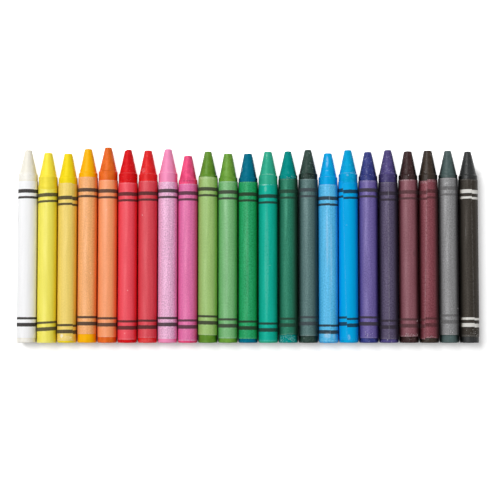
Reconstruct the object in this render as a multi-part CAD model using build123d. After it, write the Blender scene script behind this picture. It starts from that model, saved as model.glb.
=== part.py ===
from build123d import *
import os
from typing import NamedTuple

# A row of wax crayons lying side by side, points towards +Y and left to right along +X.
# Each is a cast wax stick, glued into a wrapper wound from one strip of paper.
# Millimetres and degrees. The origin is on the table, under the middle of the row.

# Wax stick: a round shank trimmed square at the butt, a bevelled shoulder and a flat-ended cone
STICK_LENGTH = 88.3
WAX_RADIUS = 4.36
SHOULDER_STEP = 0.4
SHOULDER_RISE = 0.6
CONE_LENGTH = 10.9
TIP_RADIUS = 1.5
TIP_BEVEL = 0.2
BUTT_BEVEL = 0.3

# Paper wrapper: whole turns of paper, ending in a lap that stands one thickness proud
WRAPPER_LENGTH = 72.1
PAPER = 0.06
TURNS = 2
GLUE_GAP = 0.02
BARE_BUTT = 2.1

# Room between one barrel and the next where both are widest
ROW_GAP = 0.14


class Crayon(NamedTuple):
    """How one crayon differs from the sizes above."""

    name: str
    longer: float  # added to the shank's length
    blunter: float  # added to the tip's radius by wear
    slip: float  # shift of the wrapper towards the tip
    lap: float  # turn of the wrapper's lap from straight up towards +X


CRAYONS = [
    Crayon("white", 0.8, 0.1, 0.2, 205),
    Crayon("lemon", -0.5, 0.4, -1.8, 150),
    Crayon("gold", -0.9, 0.4, -0.8, 39),
    Crayon("amber", 1.3, 0.25, 2.0, 170),
    Crayon("orange", 2.0, 0.15, 0.6, 230),
    Crayon("red", 1.0, 0.1, -0.6, 190),
    Crayon("crimson", 0.6, 0.25, 0.2, 140),
    Crayon("pale_pink", 1.2, 0.2, -0.2, 215),
    Crayon("hot_pink", -1.9, 0.4, -1.1, 165),
    Crayon("lime", 0.1, 0.15, 1.5, 185),
    Crayon("green", -0.9, 0.5, 0.0, 235),
    Crayon("emerald", -0.9, 0.4, -0.2, 155),
    Crayon("mint", 0.0, 0.35, -1.3, 200),
    Crayon("forest", 0.2, 0.05, 1.2, 175),
    Crayon("slate", 0.9, 0.1, 1.1, 225),
    Crayon("sky", -0.7, 0.35, -1.4, 8),
    Crayon("cyan", 0.8, 0.2, -0.6, -11),
    Crayon("violet", -0.1, 0.25, 0.1, 145),
    Crayon("plum", 0.8, 0.2, -0.4, 18),
    Crayon("maroon", 0.2, 0.35, 0.8, 195),
    Crayon("brown", 0.5, 0.4, 0.2, -9),
    Crayon("grey", 0.5, 0.1, 1.6, 160),
    Crayon("black", 0.1, 0.05, 1.1, 17),
]

CONE_BASE_RADIUS = WAX_RADIUS - SHOULDER_STEP
BORE_RADIUS = WAX_RADIUS + GLUE_GAP
WRAPPER_RADIUS = BORE_RADIUS + TURNS * PAPER
LAP_RADIUS = WRAPPER_RADIUS + PAPER
PITCH = 2 * LAP_RADIUS + ROW_GAP
LONGEST = STICK_LENGTH + max(crayon.longer for crayon in CRAYONS)

# Section of a lying crayon, seen from its butt: local x is straight up and local y is +X
SECTION = Plane(origin=(0, 0, 0), x_dir=(0, 0, 1), z_dir=(0, 1, 0))


def wax_stick(length, tip_radius):
    """Turn the stick about the Y axis, with the middle of its butt at the origin."""
    cone_base = length - CONE_LENGTH
    outline = Polyline(
        (0, 0),
        (WAX_RADIUS - BUTT_BEVEL, 0),
        (WAX_RADIUS, BUTT_BEVEL),
        (WAX_RADIUS, cone_base - SHOULDER_RISE),
        (CONE_BASE_RADIUS, cone_base),
        (tip_radius, length - TIP_BEVEL),
        (tip_radius - TIP_BEVEL, length),
        (0, length),
        close=True,
    )
    return revolve(make_face(outline), Axis.Y)


def wound_outline(start_radius):
    """Outline of a winding that grows by one paper thickness in a turn and drops back at the lap.

    Two half circles, whose centres stand half a thickness apart, follow the spiral without a kink.
    """
    offset = PAPER / 4
    first_half = CenterArc((-offset, 0), start_radius + offset, 0, 180)
    second_half = CenterArc((offset, 0), start_radius + PAPER - offset, 180, 180)
    lap_edge = Line(second_half @ 1, first_half @ 0)
    return make_face([first_half, second_half, lap_edge])


def paper_wrapper(lap):
    """Wind the wrapper about the Y axis, from its lower end at the origin."""
    ring = wound_outline(WRAPPER_RADIUS) - Circle(BORE_RADIUS)
    return extrude(SECTION * Rot(Z=lap) * ring, WRAPPER_LENGTH)


def main():
    os.makedirs("parts", exist_ok=True)
    middle = (len(CRAYONS) - 1) / 2
    for place, crayon in enumerate(CRAYONS):
        stick = wax_stick(STICK_LENGTH + crayon.longer, TIP_RADIUS + crayon.blunter)
        wrapper = paper_wrapper(crayon.lap)
        axis_height = -wrapper.bounding_box().min.Z
        butt = Pos((place - middle) * PITCH, -LONGEST / 2, axis_height)
        wrapper_start = butt * Pos(Y=BARE_BUTT + crayon.slip)
        export_step(butt * stick, f"parts/{crayon.name}_wax_stick.step")
        export_step(wrapper_start * wrapper, f"parts/{crayon.name}_wrapper.step")


main()
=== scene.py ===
import math
import random
from typing import NamedTuple

import bmesh
import bpy
import numpy as np
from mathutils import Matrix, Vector, noise


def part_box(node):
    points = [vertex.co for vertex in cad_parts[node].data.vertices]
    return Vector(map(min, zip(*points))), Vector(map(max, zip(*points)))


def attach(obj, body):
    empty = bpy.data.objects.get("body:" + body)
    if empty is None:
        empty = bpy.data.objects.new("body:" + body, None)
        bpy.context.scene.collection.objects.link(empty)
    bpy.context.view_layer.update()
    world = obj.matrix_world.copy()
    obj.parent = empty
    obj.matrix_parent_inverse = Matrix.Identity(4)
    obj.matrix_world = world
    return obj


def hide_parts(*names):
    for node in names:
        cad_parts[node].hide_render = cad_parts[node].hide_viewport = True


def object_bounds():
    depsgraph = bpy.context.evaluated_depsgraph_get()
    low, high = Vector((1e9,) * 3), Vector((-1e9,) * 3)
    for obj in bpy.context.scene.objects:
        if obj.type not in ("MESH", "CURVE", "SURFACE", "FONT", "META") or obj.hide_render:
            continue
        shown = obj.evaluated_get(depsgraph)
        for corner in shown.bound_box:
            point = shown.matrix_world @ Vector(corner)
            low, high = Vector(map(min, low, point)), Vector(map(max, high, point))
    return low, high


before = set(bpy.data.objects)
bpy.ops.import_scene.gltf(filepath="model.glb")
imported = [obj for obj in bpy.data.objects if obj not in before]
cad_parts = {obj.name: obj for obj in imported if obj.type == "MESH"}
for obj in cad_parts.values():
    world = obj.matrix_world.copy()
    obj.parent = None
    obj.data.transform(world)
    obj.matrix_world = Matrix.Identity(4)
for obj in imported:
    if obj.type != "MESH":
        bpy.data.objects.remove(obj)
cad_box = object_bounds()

# A row of wax crayons lying side by side on a white table, seen from above.
# Lengths are metres, written as millimetres times MM. Angles round a barrel start
# straight up and turn towards +X. Distances along a crayon start at its butt.
# Noise scales are features to the metre, and noise rates features to the radian.
MM = 0.001
FULL_TURN = 2 * math.pi

# Camera, at the photograph's viewing angle
CAMERA_DISTANCE = 550 * MM
CAMERA_TILT = math.radians(3.2)
CAMERA_AIM = Vector((0.9, -2.39, 4.5)) * MM
VIEW_WIDTH = 231.0 * MM
SENSOR_WIDTH = 36.0

# Light: a soft key from the upper left, a weak fill from the right and an even white room
LAMP_DISTANCE = 1.2
LAMP_SIZE = 0.75
KEY_ELEVATION = math.radians(56)
KEY_HEADING = math.radians(144)
KEY_POWER = 12.7
FILL_ELEVATION = math.radians(50)
FILL_HEADING = math.radians(-15)
FILL_POWER = 3.2
ROOM_LIGHT = 0.1

# Table: white, with a painted glow that lifts it to plain white where nothing shades it. The glow is
# weaker close to the row, which paints a band of shade along the row's edges, and it stays off under the
# row.
FLOOR_SIZE = 4.0
FLOOR_WHITE = 0.9
FLOOR_LIFT = 0.28  # before the butts and past the tips
FLOOR_SIDE_LIFT = 0.24  # beside the row
FLOOR_FADE = 1.5 * MM  # distance over which that glow starts
FLOOR_RISE = 0.14  # what is added further out
FLOOR_REACH = 3.2 * MM  # distance from the row over which it is added
FLOOR_FAR = (200 * MM, 700 * MM)  # distances from the middle between which it turns fully white
FLOOR_OPEN_REACH = 10 * MM  # under lifted crayons, what is nearer than this keeps the glow off
FLOOR_OPEN = (0.6, 0.95)  # shares of clear sky between which it comes on there

# Painted light between the tips: a glow that washes out the cones' shadows there
TIPS_START = 26 * MM  # where along Y it starts inside the row
TIPS_FADE = 5 * MM
TIPS_LIFT = 0.95
TIPS_SIDE = 5 * MM  # distance over which it fades towards the row's two sides
TIPS_END = 30 * MM  # where along Y it starts everywhere else
TIPS_END_FADE = 10 * MM

# Print on every wrapper: a thick and a thin band at each end, the thick one outside
PRINT_LENGTH = 63.1 * MM
THICK_BAND = 1.7 * MM
BAND_GAP = 1.55 * MM
THIN_BAND = 1.05 * MM
BAND_BLUR = 0.06 * MM
BAND_WOBBLE = 0.1 * MM
BAND_WOBBLE_SCALE = 700.0

# Wound paper
TURNS = 2
WOUND = TURNS * FULL_TURN
COLUMNS_A_TURN = 72
LAP_COLUMNS = (0.12 * MM, 0.35 * MM)
EDGE_ROWS = (*LAP_COLUMNS, 0.8 * MM, 2.0 * MM)
MIDDLE_ROWS = 16
SHEET_SHARE = 0.9  # of the thickness, so that one turn doesn't touch the next
WRINKLE = 0.022 * MM
WRINKLE_SCALE = Vector((600, 45, 600))
FRAY = 0.05 * MM
FRAY_RATE = 9
FRAY_LAYER = 0.3
WAVE_RATE = 1.7
WAVE_LAYER = 5.1
UPPER_EDGE_SEED = 40  # keeps the upper edge's fray unlike the lower one's
EDGE_WEAR = 0.7 * MM
PAPER_SHARP = math.radians(40)

# Cast wax
RING_SIDES = 72
FINE_RING = 0.6 * MM
COARSE_RING = 9.0 * MM
CORNER_ROUND = 0.15 * MM
CORNER_STEPS = 4
CORNER_SHARE = 0.45  # the most of a side that one rounded corner takes
CAST_DEPTH = 0.02 * MM
CAST_SCALE = 420
CHIP_DEPTH = 0.16 * MM
CHIP_SCALE = 900
CHIP_START = 0.15  # noise below this leaves the edge whole
CHIP_REACH = 0.5 * MM
BUTT_DISH = 0.2 * MM
WAX_SHARP = math.radians(50)

# Places in the list of a stick's corners, which runs from butt to tip
ALONG_DIGITS = 6  # points that agree to a micrometre along the stick are on one corner
BUTT_CORNER = 0
SHANK_CORNER = 1
SHOULDER_CORNER = 2
TIP_CORNER = -2

# Crumbs of wax, pressed on near the wrapper's ends
CRUMB_DETAIL = 2
CRUMB_SIZES = (0.7, 1.2)  # shares of the group's size
CRUMB_LEAN = 50  # degrees either way
CRUMB_LUMPS = (0.8, 1.15)  # shares of a crumb's radius
CRUMB_FLATNESS = 0.6  # height over width
CRUMB_SEAT = 0.15  # share of the radius by which its middle stands above the skin
LOOSE_SHARP = math.radians(60)

# Smear: a collar of wax that ran over the wrapper's edge
SMEAR_HALF_WIDTH = math.radians(95)
SMEAR_COLUMNS = 48
SMEAR_ROWS = 8
SMEAR_DROP = 2.6 * MM
SMEAR_RISE = 1.0 * MM
SMEAR_THICKNESS = 0.16 * MM
SMEAR_SEAT = 0.03 * MM
SMEAR_TAPER = 0.25  # power of the cosine by which it narrows to its ends
SMEAR_MEAN = 0.7  # its usual share of the drop, and how much that waves and slants
SMEAR_WAVE = 0.5
SMEAR_WAVE_RATE = 1.3
SMEAR_WAVE_LAYER = 2.7
SMEAR_SLANT = 0.12
SMEAR_LUMP_MEAN = 0.85  # its usual share of the thickness, and how much that varies
SMEAR_LUMP = 0.3
SMEAR_LUMP_RATE = 6
SMEAR_LUMP_LAYER = 1.9

# Parts of a noise's range over which a look goes from one end to the other
MOST_NOISE = (0.35, 0.65)
WIDE_NOISE = (0.3, 0.7)
WHOLE_NOISE = (0.2, 0.8)

# Places of the sockets for colours on a node that mixes
MIX_SHARE = 0
MIX_FIRST = 6
MIX_SECOND = 7
MIX_RESULT = 2

# Look of wax: clouds in it, pale bloom on it, and marks of its drag out of the mould
CLOUD_SCALE = 380.0
CLOUD_DETAIL = 4.0
CLOUD_DEEP = 0.08
CLOUD_LIGHT = 0.05
CLOUD_BLOOM = 0.3  # bloom at which the clouds are at their fullest
BLOOM_SCALE = 1000.0
BLOOM_DETAIL = 5.0
BLOOM_ROUGHNESS = 0.65
BLOOM_NOISE = (0.57, 0.72)
BLOOM_PALE = 0.5
DRAG_SCALE = (2600.0, 130.0, 2600.0)
DRAG_NOISE = (0.6, 0.75)
DRAG_SHARE = 0.15
PIT_SCALE = 2600.0
PIT_DETAIL = 2.0
WAX_MARK_NOISE = (0.35, 0.5)
WAX_SHEEN = 0.3
WAX_ROUGHNESS = (0.32, 0.44)
WAX_BUMP = 0.15
WAX_BUMP_DEPTH = 0.05 * MM

# Look of crumbs
CRUMB_SCALE = 4000.0
CRUMB_DULL = 0.25
CRUMB_PALE = 0.6
CRUMB_ROUGHNESS = 0.6
CRUMB_BUMP = 0.5
CRUMB_BUMP_DEPTH = 0.03 * MM

# Look of paper: fibres, slow streaks along the barrel, and mottling in 255ths either way
FIBRE_SCALE = (2600.0, 700.0, 1.0)
FIBRE_DETAIL = 4.0
STREAK_SCALE = (900.0, 60.0, 1.0)
STREAK = 0.12
MOTTLE_SCALE = (2000.0, 1400.0, 1.0)
MOTTLE = 20
INK_NOISE = (0.25, 0.55)
INK_THIN = 0.95  # share of the ink where it is thin
INK_ROUGHNESS = 0.85
WEAR_NOISE = (0.35, 0.6)
WEAR_PALE = 0.6
PAPER_MARK_NOISE = (0.3, 0.5)
PAPER_ROUGHNESS = (0.42, 0.62)
PAPER_BUMP = 0.5
PAPER_BUMP_DEPTH = 0.09 * MM

# Look of the paper's cut edges
CUT_SCALE = 5000.0
CUT_DARK = 0.15
CUT_PALE = 0.4
CUT_ROUGHNESS = 0.75
CUT_BUMP = 0.3
CUT_BUMP_DEPTH = 0.01 * MM

# Marks are full inside this share of their size, and gone at their outline
MARK_CORE = 0.4

# Painted shade: colours deepen and darken where barrels lie so close that light reaches them only over
# their neighbours, as found by ambient occlusion.
# The reach and the start are given for a dark colour and for a pale one.
PAINTED_SHADE_REACH = (7.0 * MM, 4.0 * MM)
PAINTED_SHADE_START = (1.0, 0.45)  # share of clear sky below which the colour darkens
PAINTED_SHADE_SPAN = 0.4  # how much less of it makes that complete
# The lean paints more of that shade on the side facing +X, away from the key.
PAINTED_SHADE_LEAN = 0.5  # how far that sky is sought more towards +X than straight out
PAINTED_SHADE_DEEP = (1.0, 0.4)  # shares of it between which the colour deepens
PAINTED_SHADE_TINT = 0.6  # power of its own tint with which it deepens
PAINTED_SHADE_GLOW = 0.6  # light left in the closest places, for a colour of full brightness
DARK_SHARE = 0.15  # brightest part of a dark colour
PALE_SHARE = 0.45  # brightest part of a pale one

# Colours that crayons share, in sRGB
WHITE = (255, 255, 255)
BLACK = (0, 0, 0)
DARK_INK = (36, 30, 26)
WHITE_INK = (240, 238, 233)


class Mark(NamedTuple):
    """An oval mark on one crayon, in millimetres and degrees: a scuff, chip or spot, or a painted
    highlight or painted line of light and shade.
    """

    along: float
    angle: float
    length: float
    width: float
    share: float  # how much paler its middle is, or darker below nothing


class Crumbs(NamedTuple):
    """Crumbs strewn over part of one crayon, in millimetres and degrees."""

    count: int
    along: tuple  # from and to
    angle: tuple
    size: float
    stretch: float = 1.0  # length of a shred over its width


class Look(NamedTuple):
    """How one crayon looks. Colours are sRGB, and lengths are millimetres."""

    name: str
    wax: tuple
    paper: tuple
    print_start: float  # lower edge of the print above the wrapper's lower end
    skew: float = 0.0  # degrees by which the sheet was wound askew
    ink: tuple = DARK_INK
    ink_cover: float = 0.93
    sheen: float = 0.8  # strength of the paper's sheen in its own colour
    gloss: float = 0.12  # strength of its white sheen
    flecks: float = 0.25  # share of the fullest flecking in the paper
    wax_gloss: float = 0.3  # strength of the wax's white sheen
    bloom: float = 0.12  # pale mottling on the wax
    collar: float = 0.0  # how much darker the wax is below its cone
    wrinkles: float = 1.0
    edge_wear: float = 0.3  # how pale the wrapper's ends are rubbed
    lap_wear: float = 0.0  # the same along its lap
    ragged_top: float = 0.0  # depth of the waves in the wrapper's upper edge
    ragged_end: float = 0.0  # the same at its lower edge
    tip_slant: float = 0.0  # wear on the left of the tip
    smeared: bool = False  # wax ran over the wrapper's upper edge
    paper_marks: tuple = ()
    wax_marks: tuple = ()
    crumbs: tuple = ()


# The crayons from left to right
LOOKS = [
    Look(
        "white", (237, 233, 220), (249, 249, 250), 5.2, ink_cover=0.95,
        sheen=0, gloss=0.02, flecks=0.05, wax_gloss=0.06, bloom=0.04,
        wax_marks=(Mark(0.8, 0, 5.0, 14.0, 0.3), Mark(76.6, 0, 5.0, 14.0, 0.35)),
    ),
    Look(
        "lemon", (248, 229, 68), (237, 226, 82), 5.3, skew=3.0,
        sheen=0, gloss=0.75, flecks=0.08, wax_gloss=0.08, bloom=0.05, collar=0.1,
        ragged_top=0.8, smeared=True,
    ),
    Look(
        "gold", (240, 215, 24), (236, 207, 100), 3.1, skew=0.75,
        sheen=0, gloss=0.58, flecks=0.2, wax_gloss=0.05, bloom=0.05, lap_wear=0.1,
        paper_marks=(
            Mark(3.2, -29, 2.6, 2.2, 0.5), Mark(2.4, 26, 0.8, 1.2, 0.3),
            Mark(2.6, 8, 2.0, 5.0, 0.12),
        ),
    ),
    Look(
        "amber", (249, 180, 2), (241, 170, 105), 3.9,
        sheen=0, gloss=0.64, flecks=0.45, wax_gloss=0.08, bloom=0.03,
        paper_marks=(Mark(57.7, -4, 0.6, 0.6, 0.3), Mark(31.9, 25, 0.7, 0.7, 0.4)),
    ),
    Look(
        "orange", (230, 104, 27), (243, 152, 98), 4.8, ink_cover=0.9,
        sheen=0, gloss=0.62, flecks=0.2, wax_gloss=0.1, bloom=0.2,
        # The wax mark is a dark line painted round the cone's base, for the shade at its edge.
        paper_marks=(Mark(61, -2, 0.8, 0.8, 0.12),), wax_marks=(Mark(79.3, 0, 0.5, 8.5, -0.2),),
    ),
    Look(
        "red", (216, 16, 22), (234, 70, 85), 4.6, ink_cover=0.87,
        sheen=0, gloss=0.46, flecks=0.15, wax_gloss=0.05, bloom=0.2, tip_slant=0.7,
        paper_marks=(Mark(24, 6, 0.7, 0.7, 0.3), Mark(4.4, -10, 0.9, 1.0, 0.14)),
        # The wax mark is a pale line painted round the cone's base, where its edge catches the light.
        wax_marks=(Mark(78.1, 0, 0.4, 8.0, 0.06),),
    ),
    Look(
        "crimson", (224, 32, 34), (213, 62, 75), 4.1, ink_cover=0.88,
        sheen=0.12, gloss=0.46, flecks=0.2, wax_gloss=0.11, bloom=0.15,
        paper_marks=(Mark(58.6, -30, 0.7, 0.7, 0.4),),
        wax_marks=(
            # The mark at 77.9 is a pale line painted round the cone's base, where its edge catches the
            # light.
            Mark(79.4, -33, 3.0, 2.8, 0.1), Mark(77.9, 0, 0.4, 8.0, 0.06),
            Mark(0.8, 0, 4.0, 10.0, 0.05),
        ),
    ),
    Look(
        "pale_pink", (241, 142, 186), (233, 175, 210), 5.7,
        sheen=0, gloss=0.58, flecks=1.0, wax_gloss=0.12, bloom=0.05, edge_wear=0.6,
        # The wax mark is a pale line painted round the cone's base, where its edge catches the light.
        wax_marks=(Mark(78.4, 0, 0.4, 8.5, 0.2),),
    ),
    Look(
        "hot_pink", (240, 76, 128), (222, 106, 163), 5.5, ink_cover=0.88,
        sheen=0, gloss=0.58, flecks=0.4, wax_gloss=0.07, bloom=0.45, edge_wear=0.6,
        # The wax mark is a dark line painted round the cone's base, for the shade at its edge.
        wax_marks=(Mark(74.4, 0, 0.8, 9.0, -0.35),),
    ),
    Look(
        "lime", (91, 138, 34), (150, 186, 105), 4.8, skew=-1.2,
        sheen=0.12, gloss=0.58, flecks=0.3, wax_gloss=0.15, bloom=0.22,
    ),
    Look(
        "green", (103, 155, 49), (105, 170, 106), 4.9,
        sheen=0.24, gloss=0.7, flecks=0.5, wax_gloss=0.14, bloom=0.25, edge_wear=0.5,
        # The mark is a painted highlight streak along the barrel.
        paper_marks=(Mark(38, -6, 68, 1.6, 0.04),),
    ),
    Look(
        "emerald", (0, 109, 135), (20, 152, 92), 4.1, ink_cover=0.9,
        sheen=0.48, gloss=0.25, flecks=0.85, wax_gloss=0.02, bloom=0.12,
        # The paper mark is a painted highlight streak along the barrel; the wax mark is a pale chip.
        paper_marks=(Mark(38, -4, 68, 1.8, 0.03),), wax_marks=(Mark(79.8, -60, 2.6, 1.4, 0.4),),
    ),
    Look(
        "mint", (42, 168, 137), (0, 165, 144), 4.3, ink_cover=0.92,
        sheen=1.25, gloss=0.12, flecks=0.3, wax_gloss=0.1,
        paper_marks=(
            Mark(72.6, -22, 1.0, 3.2, 0.22), Mark(70.6, -16, 3.6, 1.6, 0.1),
            # The long mark at 38 is a painted highlight streak along the barrel.
            Mark(35.5, 10, 0.5, 1.6, 0.05), Mark(38, -10, 70, 2.6, 0.035),
        ),
        # Wax marks: a pale line painted round the cone's base, where its edge catches the light, and a
        # painted highlight near the tip.
        wax_marks=(Mark(77.5, 0, 0.5, 8.5, 0.18), Mark(86.0, -16, 3.2, 0.8, 0.15)),
    ),
    Look(
        "forest", (0, 137, 131), (18, 98, 75), 4.0, ink_cover=0.75,
        sheen=4.1, gloss=0.22, flecks=0.6, wax_gloss=0.02, ragged_end=1.0,
        # The paper mark is a painted highlight streak.
        paper_marks=(Mark(68.0, -14, 5.0, 0.9, 0.02),),
        crumbs=(
            Crumbs(80, (0.2, 3.2), (-60, 45), 0.28, 2.0),
            Crumbs(8, (2.8, 4.2), (-45, 20), 0.26, 2.0),
            Crumbs(9, (75.8, 76.6), (-10, 55), 0.34, 2.5),
        ),
    ),
    Look(
        "slate", (38, 62, 54), (67, 96, 95), 4.8, ink=(52, 42, 54), ink_cover=0.68,
        sheen=2.64, gloss=0.36, flecks=0.7, wax_gloss=0.12, bloom=0.7, collar=0.3,
        # The wax mark is a dark line painted round the cone's base, for the shade in the groove there.
        wax_marks=(Mark(77.6, 0, 0.9, 9.0, -0.8),),
    ),
    Look(
        "sky", (0, 166, 229), (84, 188, 235), 3.5, skew=0.2,
        sheen=0, gloss=0.38, flecks=0.65, wax_gloss=0.04, wrinkles=2.0, lap_wear=0.25,
        paper_marks=(
            # The two long streaks are painted highlights along wrinkles in the paper.
            Mark(48, -9, 36, 1.6, 0.13), Mark(40, 14, 44, 1.4, 0.11),
            Mark(3.4, -12, 3.2, 4.5, 0.2), Mark(3.0, 30, 3.0, 2.0, 0.14),
        ),
        wax_marks=(
            # Wax marks: a painted highlight streak down the cone, a painted glint below it, and a pale
            # line painted at the shoulder, where its edge catches the light.
            Mark(83.6, -12, 7.0, 1.6, 0.18), Mark(79.2, -12, 0.6, 2.0, 0.15),
            Mark(76.4, -10, 0.5, 3.0, 0.1),
        ),
    ),
    Look(
        "cyan", (0, 167, 221), (0, 170, 232), 5.7, skew=1.5, ink_cover=0.87,
        sheen=0.1, gloss=0.05, flecks=0.05, wax_gloss=0.02, bloom=0.2, edge_wear=0.05, lap_wear=0.1,
        paper_marks=(Mark(54, -9, 0.5, 1.2, 0.08), Mark(2.6, -15, 3.4, 1.8, 0.16)),
        # The first wax mark is a pale line painted round the cone's base, where its edge catches the
        # light.
        wax_marks=(Mark(78.1, 0, 0.5, 8.5, 0.16), Mark(77.0, -8, 1.2, 1.5, 0.12)),
    ),
    Look(
        "violet", (46, 54, 124), (91, 77, 139), 5.7, skew=-0.7, ink_cover=0.95,
        sheen=1.68, gloss=0.48, flecks=0.6, wax_gloss=0.14, bloom=0.9, collar=0.1,
        crumbs=(Crumbs(7, (3.2, 5.1), (-28, 16), 0.5), Crumbs(12, (76.0, 79.5), (-60, 50), 0.25)),
    ),
    Look(
        "plum", (74, 63, 122), (73, 64, 89), 4.7, ink_cover=0.7,
        sheen=2.64, gloss=0.19, flecks=0.85, wax_gloss=0.14, bloom=1.0, collar=0.3, lap_wear=0.25,
        crumbs=(Crumbs(2, (1.0, 1.7), (-16, 0), 0.5), Crumbs(14, (77.8, 79.4), (-60, 60), 0.25)),
    ),
    Look(
        "maroon", (52, 26, 26), (120, 68, 78), 4.1, ink_cover=0.6,
        sheen=1.2, gloss=0.41, flecks=0.45, wax_gloss=0.14, bloom=0.45, collar=0.3, edge_wear=0.65,
        paper_marks=(Mark(41, 32, 4.0, 2.4, -0.35),), wax_marks=(Mark(77.0, -3, 0.7, 0.7, 0.3),),
        crumbs=(Crumbs(16, (3.2, 4.2), (-30, 50), 0.4), Crumbs(1, (10.0, 10.2), (46, 48), 0.6)),
    ),
    Look(
        "brown", (46, 33, 22), (113, 51, 61), 5.1, skew=-1.3, ink_cover=0.52,
        sheen=1.92, gloss=0.31, flecks=0.85, wax_gloss=0.2, bloom=0.25, collar=0.25,
        lap_wear=0.25, edge_wear=0.5,
        crumbs=(Crumbs(3, (2.8, 3.6), (-4, 16), 0.5),),
    ),
    Look(
        "grey", (71, 90, 89), (118, 118, 119), 5.1, ink_cover=0.38,
        sheen=2.4, gloss=0.42, flecks=0.85, wax_gloss=0.18, bloom=0.2, collar=0.2,
        paper_marks=(Mark(73.2, -16, 1.4, 2.2, 0.2), Mark(70.6, -12, 1.0, 1.0, 0.12)),
        crumbs=(
            Crumbs(4, (4.6, 5.8), (-6, 18), 0.5), Crumbs(3, (72.8, 74.0), (-22, -8), 0.5),
            Crumbs(1, (15.6, 15.8), (48, 52), 0.6),
        ),
    ),
    Look(
        "black", (29, 31, 31), (37, 32, 26), 4.2, skew=0.65, ink=WHITE_INK,
        sheen=5.0, gloss=0.19, flecks=0.55, wax_gloss=0.28, bloom=0.2, collar=0.55, lap_wear=0.2,
        paper_marks=(Mark(51, -24, 6, 0.5, 0.04),), crumbs=(Crumbs(14, (3.0, 6.4), (-30, 50), 0.36),),
    ),
]


class Crayon(NamedTuple):
    """Where one crayon lies and how it is turned and wound, as its CAD nodes say."""

    butt: Vector  # middle of the butt
    corners: list  # turned outline of the wax as (along, radius), from butt to tip
    bore: float  # radius inside the wrapper
    paper: float  # thickness
    lap: float  # angle of the wrapper's outer edge
    low: float  # where the wrapper starts, along the crayon
    high: float  # where it ends


def read_crayon(name):
    """Measure a crayon on the frame's own stick and wrapper."""
    stick_low, stick_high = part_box(f"{name}_wax_stick")
    middle = (stick_low + stick_high) / 2
    butt = Vector((middle.x, stick_low.y, middle.z))

    widest = {}
    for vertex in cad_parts[f"{name}_wax_stick"].data.vertices:
        place = vertex.co - butt
        along = round(place.y, ALONG_DIGITS)
        widest[along] = max(math.hypot(place.x, place.z), widest.get(along, 0))

    places = [vertex.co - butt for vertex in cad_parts[f"{name}_wrapper"].data.vertices]
    radii = [math.hypot(place.x, place.z) for place in places]
    lap_corner = places[radii.index(max(radii))]
    return Crayon(
        butt=butt,
        corners=sorted(widest.items()),
        bore=min(radii),
        paper=(max(radii) - min(radii)) / (TURNS + 1),
        lap=math.atan2(lap_corner.x, lap_corner.z),
        low=min(place.y for place in places),
        high=max(place.y for place in places),
    )


def on_barrel(crayon, angle, radius, along):
    """The point at that angle, radius and distance along a crayon."""
    return crayon.butt + Vector((radius * math.sin(angle), along, radius * math.cos(angle)))


def wax_radius(crayon, along):
    """How thick the stick is at a distance along it."""
    return float(np.interp(along, *zip(*crayon.corners)))


def paper_radius(crayon):
    """The wrapper's radius where its last turn begins."""
    return crayon.bore + TURNS * crayon.paper


def surface_radius(crayon, along):
    """How far out the crayon's skin is, on the paper or on the bare wax."""
    if crayon.low <= along <= crayon.high:
        return paper_radius(crayon) + crayon.paper / 2
    return wax_radius(crayon, along)


def print_middle(look, crayon):
    """Where the middle of the print lies along the crayon."""
    return crayon.low + look.print_start * MM + PRINT_LENGTH / 2


def half_noise(place):
    """Noise from 0 to 1 at a place, mostly near a half."""
    return 0.5 + 0.5 * noise.noise(place)


def add_places(mesh, name, places):
    """Give each corner of the faces its place in a layer of coordinates."""
    layer = mesh.uv_layers.new(name=name)
    for corner, place in zip(layer.data, places):
        corner.uv = place


def smooth_piece(name, mesh, materials, sharp_angle):
    """An object of that mesh, smooth except at its edges."""
    shape = bmesh.new()
    shape.from_mesh(mesh)
    bmesh.ops.recalc_face_normals(shape, faces=shape.faces)
    shape.to_mesh(mesh)
    shape.free()
    mesh.shade_smooth()
    mesh.set_sharp_from_angle(angle=sharp_angle)
    for material in materials:
        mesh.materials.append(material)
    piece = bpy.data.objects.new(name, mesh)
    bpy.context.scene.collection.objects.link(piece)
    return piece


def linear(colour):
    """A linear colour with alpha, from sRGB in 255ths by the curve of that standard."""
    shares = [part / 255 for part in colour]
    return (*(s / 12.92 if s <= 0.04045 else ((s + 0.055) / 1.055) ** 2.4 for s in shares), 1.0)


def towards(colour, other, share):
    """The sRGB colour that lies that share of the way to another."""
    return tuple(a + (b - a) * share for a, b in zip(colour, other))


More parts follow.
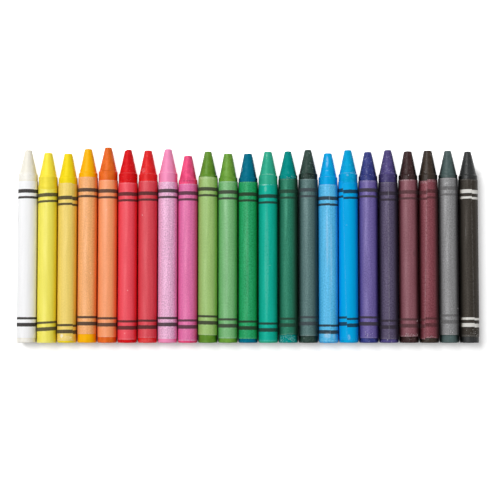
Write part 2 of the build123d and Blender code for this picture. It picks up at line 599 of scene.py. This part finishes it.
class Shader:
    """A material's nodes, with a short way to add each kind."""

    def __init__(self, name):
        self.material = bpy.data.materials.new(name)
        self.material.use_nodes = True
        self.tree = self.material.node_tree
        self.tree.nodes.clear()

    def add(self, kind, inputs=(), output=0, **settings):
        """Add a node, link or set its inputs, and give one of its outputs."""
        node = self.tree.nodes.new("ShaderNode" + kind)
        for name, value in settings.items():
            setattr(node, name, value)
        for socket, value in dict(inputs).items():
            if isinstance(value, bpy.types.NodeSocket):
                self.tree.links.new(value, node.inputs[socket])
            else:
                node.inputs[socket].default_value = value
        return node.outputs[output] if len(node.outputs) else node

    def noise(self, place, scale, detail=3.0, roughness=0.5):
        """Noise from 0 to 1, the same all ways."""
        sockets = {"Vector": place, "Scale": scale, "Detail": detail, "Roughness": roughness}
        return self.add("TexNoise", sockets)

    def drawn_noise(self, place, scales, detail=3.0):
        """Noise with a scale of its own each way, which draws it out."""
        return self.noise(self.add("Mapping", {"Vector": place, "Scale": scales}), 1.0, detail=detail)

    def ramp(self, value, start, end, low=0.0, high=1.0):
        """Rise smoothly from low to high as the value goes from start to end."""
        sockets = {"Value": value, "From Min": start, "From Max": end, "To Min": low, "To Max": high}
        return self.add("MapRange", sockets, interpolation_type="SMOOTHSTEP")

    def maths(self, operation, first, second=0.0):
        """One sum on two values."""
        return self.add("Math", {0: first, 1: second}, operation=operation)

    def largest(self, first, *others):
        """The largest of some values."""
        for other in others:
            first = self.maths("MAXIMUM", first, other)
        return first

    def mix(self, share, first, second, blend_type="MIX"):
        """A colour with that share of a second one in it."""
        sockets = {MIX_SHARE: share, MIX_FIRST: first, MIX_SECOND: second}
        return self.add("Mix", sockets, output=MIX_RESULT, data_type="RGBA", blend_type=blend_type)

    def bump(self, height, strength, depth):
        """A surface's normal, roughened by a height."""
        return self.add("Bump", {"Height": height, "Strength": strength, "Distance": depth})

    def finish(self, sockets):
        """Close the material with one surface of those settings."""
        surface = self.add("BsdfPrincipled", sockets)
        self.add("OutputMaterial", {"Surface": surface})
        return self.material


def own_sheen(colour, sheen, gloss):
    """Settings of a sheen that is part the surface's own colour and part white."""
    parts = [sheen * part + gloss for part in linear(colour)[:3]]
    brightest = max(parts)
    tint = [part / brightest for part in parts]
    return {"Specular IOR Level": brightest, "Specular Tint": (*tint, 1.0)}


def marked(shader, colour, place, ovals, broken):
    """Lay marks over a colour: soft ovals, given as (middle, half sizes, share), broken by noise. Some
    of them are painted highlights and painted lines of light and shade.
    """
    for middle, halves, share in ovals:
        offset = shader.add("VectorMath", {0: place, 1: middle}, operation="SUBTRACT")
        scaled = shader.add("VectorMath", {0: offset, 1: halves}, operation="DIVIDE")
        away = shader.add("VectorMath", {0: scaled}, output="Value", operation="LENGTH")
        cover = shader.maths("MULTIPLY", shader.ramp(away, 1.0, MARK_CORE, high=abs(share)), broken)
        colour = shader.mix(cover, colour, linear(WHITE if share > 0 else BLACK))
    return colour


def painted_crevice_shade(shader, colour, tone):
    """Painted shade: deepen and then darken a colour where a neighbour closes it in, found by ambient
    occlusion leaning towards +X.
    """
    shares = linear(tone)[:3]
    brightest = max(shares)
    reach = float(np.interp(brightest, (DARK_SHARE, PALE_SHARE), PAINTED_SHADE_REACH))
    start = float(np.interp(brightest, (DARK_SHARE, PALE_SHARE), PAINTED_SHADE_START))
    facing = shader.add("NewGeometry", output="Normal")
    leaning = shader.add("VectorMath", {0: facing, 1: (PAINTED_SHADE_LEAN, 0, 0)}, operation="ADD")
    leaning = shader.add("VectorMath", {0: leaning}, operation="NORMALIZE")
    clear = shader.add("AmbientOcclusion", {"Distance": reach, "Normal": leaning}, output="AO")
    deep = [(share / brightest) ** PAINTED_SHADE_TINT for share in shares]
    colour = shader.mix(shader.ramp(clear, *PAINTED_SHADE_DEEP), colour, (*deep, 1.0), blend_type="MULTIPLY")
    shade = shader.ramp(clear, start, start - PAINTED_SHADE_SPAN)
    dark = [PAINTED_SHADE_GLOW * brightest * part for part in deep]
    return shader.mix(shade, colour, (*dark, 1.0), blend_type="MULTIPLY")


def wax_ovals(look, crayon):
    """The marks on a stick, as ovals on its skin of (angle, along)."""
    ovals = []
    for mark in look.wax_marks:
        middle = (math.radians(mark.angle), mark.along * MM, 0)
        half_turn = mark.width * MM / 2 / wax_radius(crayon, mark.along * MM)
        ovals.append((middle, (half_turn, mark.length * MM / 2, 1), mark.share))
    return ovals


def wax_collar(shader, look, crayon, skin):
    """How much darker the shank is below its cone. The bare butt stays as it is."""
    shoulder = crayon.corners[SHOULDER_CORNER][0]
    along = shader.add("SeparateXYZ", {0: skin}, output=1)
    below_cone = shader.ramp(along, shoulder + FINE_RING / 2, shoulder - FINE_RING / 2, high=look.collar)
    past_butt = shader.maths("GREATER_THAN", along, crayon.low + FINE_RING)
    return shader.maths("MULTIPLY", below_cone, past_butt)


def wax_material(look, crayon):
    """Cast wax: cloudy colour, pale bloom, drag marks along the stick and a satin skin."""
    shader = Shader(f"{look.name}_wax")
    place = shader.add("TexCoord", output="Object")
    skin = shader.add("UVMap", uv_map="skin")
    cloud = shader.noise(place, CLOUD_SCALE, CLOUD_DETAIL)
    bloom = shader.noise(place, BLOOM_SCALE, BLOOM_DETAIL, BLOOM_ROUGHNESS)
    drag = shader.drawn_noise(place, DRAG_SCALE)
    pits = shader.noise(place, PIT_SCALE, PIT_DETAIL)

    cloudy = min(1.0, look.bloom / CLOUD_BLOOM)
    deep = linear(towards(look.wax, BLACK, CLOUD_DEEP * cloudy))
    light = linear(towards(look.wax, WHITE, CLOUD_LIGHT * cloudy))
    pale = linear(towards(look.wax, WHITE, BLOOM_PALE))
    colour = shader.mix(shader.ramp(cloud, *MOST_NOISE), deep, light)
    colour = shader.mix(shader.ramp(bloom, *BLOOM_NOISE, high=look.bloom), colour, pale)
    colour = shader.mix(shader.ramp(drag, *DRAG_NOISE, high=DRAG_SHARE * cloudy), colour, pale)
    broken = shader.ramp(bloom, *WAX_MARK_NOISE)
    colour = marked(shader, colour, skin, wax_ovals(look, crayon), broken)
    colour = shader.mix(wax_collar(shader, look, crayon, skin), colour, linear(BLACK))
    # Painted shade where the neighbouring crayons close the wax in
    colour = painted_crevice_shade(shader, colour, look.wax)

    smooth, rough = WAX_ROUGHNESS
    height = shader.maths("ADD", pits, drag)
    return shader.finish({
        "Base Color": colour,
        "Roughness": shader.ramp(drag, *WIDE_NOISE, low=smooth, high=rough),
        "Normal": shader.bump(height, WAX_BUMP + look.bloom, WAX_BUMP_DEPTH),
        **own_sheen(look.wax, WAX_SHEEN, look.wax_gloss),
    })


def crumb_material(look):
    """Loose wax: paler than what it lies on, because its broken skin scatters light."""
    shader = Shader(f"{look.name}_crumb")
    place = shader.add("TexCoord", output="Object")
    grain = shader.noise(place, CRUMB_SCALE)
    ground = max(look.wax, look.paper, key=sum)
    dull = linear(towards(ground, WHITE, CRUMB_DULL))
    pale = linear(towards(ground, WHITE, CRUMB_PALE))
    return shader.finish({
        "Base Color": shader.mix(shader.ramp(grain, *MOST_NOISE), dull, pale),
        "Roughness": CRUMB_ROUGHNESS,
        "Normal": shader.bump(grain, CRUMB_BUMP, CRUMB_BUMP_DEPTH),
    })


def printed_bands(shader, sheet):
    """Where the bands' ink lies. The sheet's second coordinate starts at the print's middle."""
    from_middle = shader.add("SeparateXYZ", {0: sheet}, output=1)
    uneven = shader.noise(sheet, BAND_WOBBLE_SCALE)
    wobble = shader.ramp(uneven, *WHOLE_NOISE, low=-BAND_WOBBLE / 2, high=BAND_WOBBLE / 2)
    place = shader.maths("ADD", shader.maths("ABSOLUTE", from_middle), wobble)
    thick_middle = (PRINT_LENGTH - THICK_BAND) / 2
    thin_middle = PRINT_LENGTH / 2 - THICK_BAND - BAND_GAP - THIN_BAND / 2
    bands = []
    for middle, width in ((thick_middle, THICK_BAND), (thin_middle, THIN_BAND)):
        away = shader.maths("ABSOLUTE", shader.maths("SUBTRACT", place, middle))
        bands.append(shader.ramp(away, width / 2 + BAND_BLUR, width / 2 - BAND_BLUR))
    return shader.largest(*bands)


def paper_ovals(look, crayon):
    """The marks on a wrapper, as ovals on its sheet."""
    ovals = []
    for mark in look.paper_marks:
        turned = (math.radians(mark.angle) - crayon.lap) % FULL_TURN - FULL_TURN
        middle = (turned * paper_radius(crayon), mark.along * MM - print_middle(look, crayon), 0)
        ovals.append((middle, (mark.width * MM / 2, mark.length * MM / 2, 1), mark.share))
    return ovals


def paper_material(look, crayon):
    """Dyed wrapper paper: fibres, streaks and flecks, printed bands, and pale wear along cut edges."""
    shader = Shader(f"{look.name}_paper")
    sheet = shader.add("UVMap", uv_map="sheet")
    fibres = shader.drawn_noise(sheet, FIBRE_SCALE, FIBRE_DETAIL)
    streaks = shader.drawn_noise(sheet, STREAK_SCALE)
    mottle = shader.drawn_noise(sheet, MOTTLE_SCALE)
    wear = shader.add("Attribute", output="Fac", attribute_name="wear")

    fleck = MOTTLE * look.flecks
    deep = linear([max(part - fleck, 0) for part in look.paper])
    light = linear([min(part + fleck, 255) for part in look.paper])
    pale = linear(towards(look.paper, WHITE, WEAR_PALE))
    colour = shader.mix(shader.ramp(mottle, *WIDE_NOISE), deep, light)
    streak = shader.ramp(streaks, *MOST_NOISE, high=STREAK * math.sqrt(look.flecks))
    colour = shader.mix(streak, colour, linear(BLACK))

    ink = printed_bands(shader, sheet)
    cover = shader.ramp(fibres, *INK_NOISE, low=INK_THIN * look.ink_cover, high=look.ink_cover)
    colour = shader.mix(shader.maths("MULTIPLY", ink, cover), colour, linear(look.ink))
    scuffed = shader.maths("MULTIPLY", wear, shader.ramp(fibres, *WEAR_NOISE))
    colour = shader.mix(scuffed, colour, pale)
    broken = shader.ramp(fibres, *PAPER_MARK_NOISE)
    colour = marked(shader, colour, sheet, paper_ovals(look, crayon), broken)
    # Painted shade where the neighbouring crayons close the paper in
    colour = painted_crevice_shade(shader, colour, look.paper)

    smooth, rough = PAPER_ROUGHNESS
    dull = shader.ramp(streaks, *WIDE_NOISE, low=smooth, high=rough)
    return shader.finish({
        "Base Color": colour,
        "Roughness": shader.largest(dull, shader.maths("MULTIPLY", ink, INK_ROUGHNESS)),
        "Normal": shader.bump(fibres, PAPER_BUMP, PAPER_BUMP_DEPTH),
        **own_sheen(look.paper, look.sheen, look.gloss),
    })


def cut_material(look):
    """The pale core that shows where the paper was cut."""
    shader = Shader(f"{look.name}_cut_paper")
    place = shader.add("TexCoord", output="Object")
    fibres = shader.noise(place, CUT_SCALE)
    dark = linear(towards(look.paper, WHITE, CUT_DARK))
    pale = linear(towards(look.paper, WHITE, CUT_PALE))
    return shader.finish({
        "Base Color": shader.mix(shader.ramp(fibres, *MOST_NOISE), dark, pale),
        "Roughness": CUT_ROUGHNESS,
        "Normal": shader.bump(fibres, CUT_BUMP, CUT_BUMP_DEPTH),
    })


def rounded(corners):
    """An open outline with each inner corner rounded off."""
    points = [corners[0]]
    for before, corner, after in zip(corners, corners[1:], corners[2:]):
        back = before - corner
        ahead = after - corner
        start = corner + back.normalized() * min(CORNER_ROUND, CORNER_SHARE * back.length)
        end = corner + ahead.normalized() * min(CORNER_ROUND, CORNER_SHARE * ahead.length)
        for step in range(CORNER_STEPS + 1):
            share = step / CORNER_STEPS
            points.append(start.lerp(corner, share).lerp(corner.lerp(end, share), share))
    return points + [corners[-1]]


def filled(points, hidden):
    """Points added on the long runs of an outline, few where the wrapper hides it."""
    made = [points[0]]
    for start, end in zip(points, points[1:]):
        inside = hidden[0] < start.x and end.x < hidden[1]
        room = COARSE_RING if inside else FINE_RING
        pieces = max(1, math.ceil((end - start).length / room))
        made += [start.lerp(end, piece / pieces) for piece in range(1, pieces + 1)]
    return made


def wax_outline(crayon):
    """The stick's outline as points (along, radius), with a shrunk hollow in the butt."""
    turned = [Vector(corner) for corner in crayon.corners]
    shank = turned[SHANK_CORNER].y
    cover = [Vector((crayon.low + FINE_RING, shank)), Vector((crayon.high - FINE_RING, shank))]
    butt_middle = Vector((0, 0))
    tip_middle = Vector((turned[-1].x, 0))
    corners = [butt_middle, *turned[:SHOULDER_CORNER], *cover, *turned[SHOULDER_CORNER:], tip_middle]
    points = filled(rounded(corners), (cover[0].x - FINE_RING, cover[1].x + FINE_RING))
    flat = turned[BUTT_CORNER].y
    for point in points:
        if point.x < CORNER_ROUND and point.y < flat:
            point.x += BUTT_DISH * (1 - (point.y / flat) ** 2)
    return points


def ring_angle(side):
    """Angle of one of the sides of a turned ring, which starts underneath."""
    return FULL_TURN * side / RING_SIDES - math.pi


def wax_rings(look, crayon, points):
    """Turn an outline into rings of points: uneven as cast, chipped along edges, with a worn tip."""
    length = crayon.corners[-1][0]
    edges = [Vector(corner) for corner in crayon.corners]
    tip_radius = edges[TIP_CORNER].y
    verts = []
    rings = []
    for index, point in enumerate(points):
        before = points[max(index - 1, 0)]
        after = points[min(index + 1, len(points) - 1)]
        run = (after - before).normalized()
        inward = Vector((run.y, -run.x))
        near = math.exp(-min((point - edge).length for edge in edges) / CHIP_REACH)
        sides = RING_SIDES if 0 < index < len(points) - 1 else 1
        rings.append(range(len(verts), len(verts) + sides))
        for side in range(sides):
            angle = ring_angle(side)
            place = on_barrel(crayon, angle, point.y, point.x)
            cast = half_noise(place * CAST_SCALE)
            chip = max(0.0, noise.noise(place * CHIP_SCALE) - CHIP_START)
            moved = point + inward * (CAST_DEPTH * cast + CHIP_DEPTH * chip * near)
            leftward = max(0.0, -math.sin(angle) * moved.y / tip_radius)
            moved.x = min(moved.x, length - look.tip_slant * MM * leftward)
            verts.append(on_barrel(crayon, angle, moved.y, moved.x))
    return verts, rings


def ring_faces(points, rings):
    """Faces from each ring to the next, and the places of their corners as (angle, along)."""
    faces = []
    skin = []
    for index in range(len(rings) - 1):
        for side in range(RING_SIDES):
            corners = {}
            for row, step in ((index, 0), (index, 1), (index + 1, 1), (index + 1, 0)):
                vertex = rings[row][(side + step) % len(rings[row])]
                corners.setdefault(vertex, (ring_angle(side + step), points[row].x))
            faces.append(list(corners))
            skin += corners.values()
    return faces, skin


def wax_stick(look, crayon):
    """The cast stick, turned from its outline."""
    points = wax_outline(crayon)
    verts, rings = wax_rings(look, crayon, points)
    faces, skin = ring_faces(points, rings)
    mesh = bpy.data.meshes.new(f"{look.name}_wax")
    mesh.from_pydata(verts, [], faces)
    add_places(mesh, "skin", skin)
    return smooth_piece(f"{look.name}_wax", mesh, [wax_material(look, crayon)], WAX_SHARP)


def edge_waves(seed, turned, depth):
    """How far a cut edge falls short at a place round the sheet: fine fray and slow waves."""
    fray = FRAY * half_noise(Vector((turned * FRAY_RATE, seed, FRAY_LAYER)))
    waves = depth * MM * half_noise(Vector((turned * WAVE_RATE, seed, WAVE_LAYER)))
    return fray + waves


def sheet_columns(crayon):
    """Angles wound so far at which the sheet has a column of points, close at the lap."""
    columns = np.linspace(0, WOUND, TURNS * COLUMNS_A_TURN + 1)
    at_lap = [WOUND - column / paper_radius(crayon) for column in LAP_COLUMNS]
    return sorted([*columns, *at_lap])


def sheet_rows(length):
    """Shares of the sheet's length at which it has a row of points, close at the ends."""
    ends = [0.0] + [row / length for row in EDGE_ROWS]
    middle = np.linspace(ends[-1], 1 - ends[-1], MIDDLE_ROWS + 2)[1:-1]
    return ends + list(middle) + [1 - share for share in reversed(ends)]


def sheet_faces(wide, tall):
    """Faces of a sheet with two sides, on points in columns, and those that close its rim."""
    back = wide * tall
    faces = []
    for column in range(wide - 1):
        for row in range(tall - 1):
            start = column * tall + row
            quad = (start, start + 1, start + tall + 1, start + tall)
            faces += [quad, tuple(back + corner for corner in reversed(quad))]
    rim = [column * tall for column in range(wide)]
    rim += [(wide - 1) * tall + row for row in range(1, tall)]
    rim += [column * tall + tall - 1 for column in range(wide - 2, -1, -1)]
    rim += list(range(tall - 2, 0, -1))
    cut = []
    for start, end in zip(rim, rim[1:] + rim[:1]):
        cut.append((start, end, back + end, back + start))
    return faces, cut


def wound_points(look, crayon, columns, rows):
    """Points of the sheet's two sides, column by column, with their places on it and their wear."""
    radius = paper_radius(crayon)
    slope = math.tan(math.radians(look.skew))
    top_of_barrel = WOUND - crayon.lap % FULL_TURN
    middle = print_middle(look, crayon)
    seed = crayon.butt.x / MM
    outside, inside, sheet, wear = [], [], [], []
    for turned in columns:
        shift = (turned - top_of_barrel) * radius * slope
        low = max(crayon.low + shift, FRAY) + edge_waves(seed, turned, look.ragged_end)
        high = crayon.high + shift - edge_waves(seed + UPPER_EDGE_SEED, turned, look.ragged_top)
        laid = crayon.bore + crayon.paper * (turned / FULL_TURN + 1)
        for share in rows:
            along = low + (high - low) * share
            on_sheet = along - shift
            angle = crayon.lap + turned - (on_sheet - middle) * slope / radius
            place = on_barrel(crayon, angle, radius, along)
            top = laid - WRINKLE * look.wrinkles * half_noise(place * WRINKLE_SCALE)
            # The table stops what would reach below it
            if top * math.cos(angle) < -crayon.butt.z:
                top = -crayon.butt.z / math.cos(angle)
            outside.append(on_barrel(crayon, angle, top, along))
            inside.append(on_barrel(crayon, angle, top - SHEET_SHARE * crayon.paper, along))
            sheet.append(((turned - WOUND) * radius, on_sheet - middle))
            end_wear = look.edge_wear * (1 - min(along - low, high - along) / EDGE_WEAR)
            lap_wear = look.lap_wear * (1 - (WOUND - turned) * radius / EDGE_WEAR)
            wear.append(max(0.0, end_wear, lap_wear))
    return outside, inside, sheet, wear


def paper_wrapper(look, crayon):
    """Wind the sheet: whole turns of paper, each on the one below, the last edge at the lap."""
    columns = sheet_columns(crayon)
    rows = sheet_rows(crayon.high - crayon.low)
    outside, inside, sheet, wear = wound_points(look, crayon, columns, rows)
    faces, cut = sheet_faces(len(columns), len(rows))
    mesh = bpy.data.meshes.new(f"{look.name}_paper")
    mesh.from_pydata(outside + inside, [], faces + cut)
    mesh.attributes.new("wear", "FLOAT", "POINT").data.foreach_set("value", wear * 2)
    add_places(mesh, "sheet", [sheet[loop.vertex_index % len(sheet)] for loop in mesh.loops])
    for face in mesh.polygons:
        face.material_index = int(face.index >= len(faces))
    materials = [paper_material(look, crayon), cut_material(look)]
    return smooth_piece(f"{look.name}_paper", mesh, materials, PAPER_SHARP)


def wax_crumbs(look, crayon):
    """Crumbs and shreds of the crayon's own wax, pressed onto its skin."""
    draw = random.Random(look.name)
    shape = bmesh.new()
    for group in look.crumbs:
        for _ in range(group.count):
            along = draw.uniform(*group.along) * MM
            angle = math.radians(draw.uniform(*group.angle))
            half = group.size * draw.uniform(*CRUMB_SIZES) * MM / 2
            lean = math.radians(draw.uniform(-CRUMB_LEAN, CRUMB_LEAN))
            outward = Vector((math.sin(angle), 0, math.cos(angle)))
            across = Vector((math.cos(angle), 0, -math.sin(angle)))
            longways = Vector((0, math.cos(lean), 0)) + across * math.sin(lean)
            sideways = longways.cross(outward)
            seat = on_barrel(crayon, angle, surface_radius(crayon, along) + CRUMB_SEAT * half, along)
            crumb = bmesh.ops.create_icosphere(shape, subdivisions=CRUMB_DETAIL, radius=half)
            for vertex in crumb["verts"]:
                lump = vertex.co * draw.uniform(*CRUMB_LUMPS)
                vertex.co = (
                    seat + sideways * lump.x / math.sqrt(group.stretch)
                    + longways * lump.y * math.sqrt(group.stretch) + outward * lump.z * CRUMB_FLATNESS
                )
    mesh = bpy.data.meshes.new(f"{look.name}_crumbs")
    shape.to_mesh(mesh)
    shape.free()
    return smooth_piece(f"{look.name}_crumbs", mesh, [crumb_material(look)], LOOSE_SHARP)


def wax_smear(look, crayon, material):
    """A thin collar of wax that ran over the wrapper's upper edge and set there in a wavy line."""
    paper = surface_radius(crayon, crayon.high)
    shank = wax_radius(crayon, crayon.high)
    top, under, skin = [], [], []
    for angle in np.linspace(-SMEAR_HALF_WIDTH, SMEAR_HALF_WIDTH, SMEAR_COLUMNS + 1):
        narrow = math.cos(angle * math.pi / 2 / SMEAR_HALF_WIDTH) ** SMEAR_TAPER
        waving = noise.noise(Vector((angle * SMEAR_WAVE_RATE, SMEAR_WAVE_LAYER, 0)))
        wave = SMEAR_MEAN + SMEAR_WAVE * waving - SMEAR_SLANT * angle
        start = crayon.high - SMEAR_DROP * wave * narrow
        end = crayon.high + SMEAR_RISE * narrow
        for share in np.linspace(0, 1, SMEAR_ROWS + 1):
            along = start + (end - start) * share
            seat = paper if along < crayon.high else shank
            uneven = noise.noise(Vector((angle * SMEAR_LUMP_RATE, along / MM, SMEAR_LUMP_LAYER)))
            lump = SMEAR_LUMP_MEAN + SMEAR_LUMP * uneven
            bead = SMEAR_THICKNESS * lump * narrow * math.sin(math.pi * share)
            top.append(on_barrel(crayon, angle, paper + (shank - paper) * share + bead, along))
            under.append(on_barrel(crayon, angle, seat - SMEAR_SEAT, along))
            skin.append((angle, along))
    faces, rim = sheet_faces(SMEAR_COLUMNS + 1, SMEAR_ROWS + 1)
    mesh = bpy.data.meshes.new(f"{look.name}_smear")
    mesh.from_pydata(top + under, [], faces + rim)
    add_places(mesh, "skin", [skin[loop.vertex_index % len(skin)] for loop in mesh.loops])
    return smooth_piece(f"{look.name}_smear", mesh, [material], LOOSE_SHARP)


def dress(look):
    """Give one crayon its wax and its paper in place of the frame's plain solids."""
    crayon = read_crayon(look.name)
    body = f"{look.name}_crayon"
    wax = wax_stick(look, crayon)
    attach(wax, body)
    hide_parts(f"{look.name}_wax_stick")
    paper = paper_wrapper(look, crayon)
    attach(paper, body)
    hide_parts(f"{look.name}_wrapper")
    loose = [wax_crumbs(look, crayon)] if look.crumbs else []
    loose += [wax_smear(look, crayon, wax.data.materials[0])] if look.smeared else []
    for piece in loose:
        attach(piece, body)


def seen_directly(tree):
    """1 for rays that show a surface as it is: from the camera, a reflection or through glass."""
    rays = tree.nodes.new("ShaderNodeLightPath")
    seen = rays.outputs["Is Camera Ray"]
    for other in ("Is Glossy Ray", "Is Transmission Ray"):
        either = tree.nodes.new("ShaderNodeMath")
        either.operation = "MAXIMUM"
        tree.links.new(seen, either.inputs[0])
        tree.links.new(rays.outputs[other], either.inputs[1])
        seen = either.outputs[0]
    return seen


def lift_round_row(shader, across, along):
    """The table's glow outside the row, and on the open table under lifted crayons. The glow fades out
    towards the row, which paints shade along the row's edges.
    """
    side, butts, tips = cad_box[1].x, cad_box[0].y, cad_box[1].y
    near = shader.largest(
        shader.ramp(across, side - FLOOR_FADE, side, high=FLOOR_SIDE_LIFT),
        shader.ramp(along, butts + FLOOR_FADE, butts - FLOOR_FADE / 2, high=FLOOR_LIFT),
        shader.ramp(along, tips - FLOOR_FADE, tips, high=FLOOR_LIFT),
    )
    further = shader.largest(
        shader.ramp(across, side, side + FLOOR_REACH, high=FLOOR_RISE),
        shader.ramp(along, butts, butts - FLOOR_REACH, high=FLOOR_RISE),
        shader.ramp(along, tips, tips + FLOOR_REACH, high=FLOOR_RISE),
    )
    around = shader.maths("ADD", near, further)
    clear = shader.add("AmbientOcclusion", {"Distance": FLOOR_OPEN_REACH}, output="AO")
    open_floor = shader.ramp(clear, *FLOOR_OPEN, high=FLOOR_SIDE_LIFT + FLOOR_RISE)
    return shader.largest(around, open_floor)


def lift_at_tips(shader, across, along):
    """Painted light: the table's glow between the tips, which washes out the cones' shadows there, and
    further up beside them.
    """
    side = cad_box[1].x
    between = shader.ramp(along, TIPS_START, TIPS_START + TIPS_FADE, high=TIPS_LIFT)
    inside = shader.ramp(across, side, side - TIPS_SIDE)
    beside = shader.ramp(along, TIPS_END, TIPS_END + TIPS_END_FADE, high=TIPS_LIFT)
    return shader.largest(shader.maths("MULTIPLY", between, inside), beside)


def floor_material():
    """White, with a painted glow that is only seen, also in reflections, and lights nothing."""
    shader = Shader("floor_white")
    table = shader.add("BsdfDiffuse", {"Color": (FLOOR_WHITE, FLOOR_WHITE, FLOOR_WHITE, 1.0)})
    place = shader.add("TexCoord", output="Object")
    across = shader.maths("ABSOLUTE", shader.add("SeparateXYZ", {0: place}, output=0))
    along = shader.add("SeparateXYZ", {0: place}, output=1)
    distance = shader.add("VectorMath", {0: place}, output="Value", operation="LENGTH")
    lift = shader.largest(
        lift_round_row(shader, across, along),
        lift_at_tips(shader, across, along),
        shader.ramp(distance, *FLOOR_FAR),
    )
    shown = shader.maths("MULTIPLY", seen_directly(shader.tree), lift)
    glow = shader.add("Emission", {"Strength": shown})
    both = shader.add("AddShader", {0: table, 1: glow})
    shader.add("OutputMaterial", {"Surface": both})
    return shader.material


def make_floor():
    """The table, as one large square under the row."""
    mesh = bpy.data.meshes.new("floor")
    half = FLOOR_SIZE / 2
    corners = [(-half, -half, 0), (half, -half, 0), (half, half, 0), (-half, half, 0)]
    mesh.from_pydata(corners, [], [(0, 1, 2, 3)])
    mesh.materials.append(floor_material())
    floor = bpy.data.objects.new("floor", mesh)
    bpy.context.scene.collection.objects.link(floor)


def make_lamp(name, heading, elevation, power, glossy=True):
    """A round soft lamp that shines on the middle of the row."""
    data = bpy.data.lights.new(name, "AREA")
    data.shape = "DISK"
    data.size = LAMP_SIZE
    data.energy = power
    lamp = bpy.data.objects.new(name, data)
    lamp.visible_glossy = glossy
    level = math.cos(elevation)
    direction = Vector((level * math.cos(heading), level * math.sin(heading), math.sin(elevation)))
    lamp.location = direction * LAMP_DISTANCE
    lamp.rotation_euler = direction.to_track_quat("Z", "Y").to_euler()
    bpy.context.scene.collection.objects.link(lamp)


def make_light():
    """The two lamps and the white room round them."""
    make_lamp("key", KEY_HEADING, KEY_ELEVATION, KEY_POWER)
    make_lamp("fill", FILL_HEADING, FILL_ELEVATION, FILL_POWER, glossy=False)
    room = bpy.data.worlds.new("room")
    room.use_nodes = True
    tree = room.node_tree
    level = tree.nodes.new("ShaderNodeMapRange")
    tree.links.new(seen_directly(tree), level.inputs["Value"])
    level.inputs["To Min"].default_value = ROOM_LIGHT
    background = tree.nodes["Background"]
    background.inputs["Color"].default_value = (1.0, 1.0, 1.0, 1.0)
    tree.links.new(level.outputs[0], background.inputs["Strength"])
    bpy.context.scene.world = room


def make_camera():
    """Look down at the row from a little to the butts' side."""
    data = bpy.data.cameras.new("camera")
    data.sensor_width = SENSOR_WIDTH
    data.lens = SENSOR_WIDTH * CAMERA_DISTANCE / VIEW_WIDTH
    camera = bpy.data.objects.new("camera", data)
    away = Vector((0, -math.sin(CAMERA_TILT), math.cos(CAMERA_TILT)))
    camera.location = CAMERA_AIM + away * CAMERA_DISTANCE
    camera.rotation_euler = (CAMERA_TILT, 0, 0)
    bpy.context.scene.collection.objects.link(camera)
    bpy.context.scene.camera = camera


for look in LOOKS:
    dress(look)
make_floor()
make_light()
make_camera()
bpy.context.scene.view_settings.view_transform = "Standard"
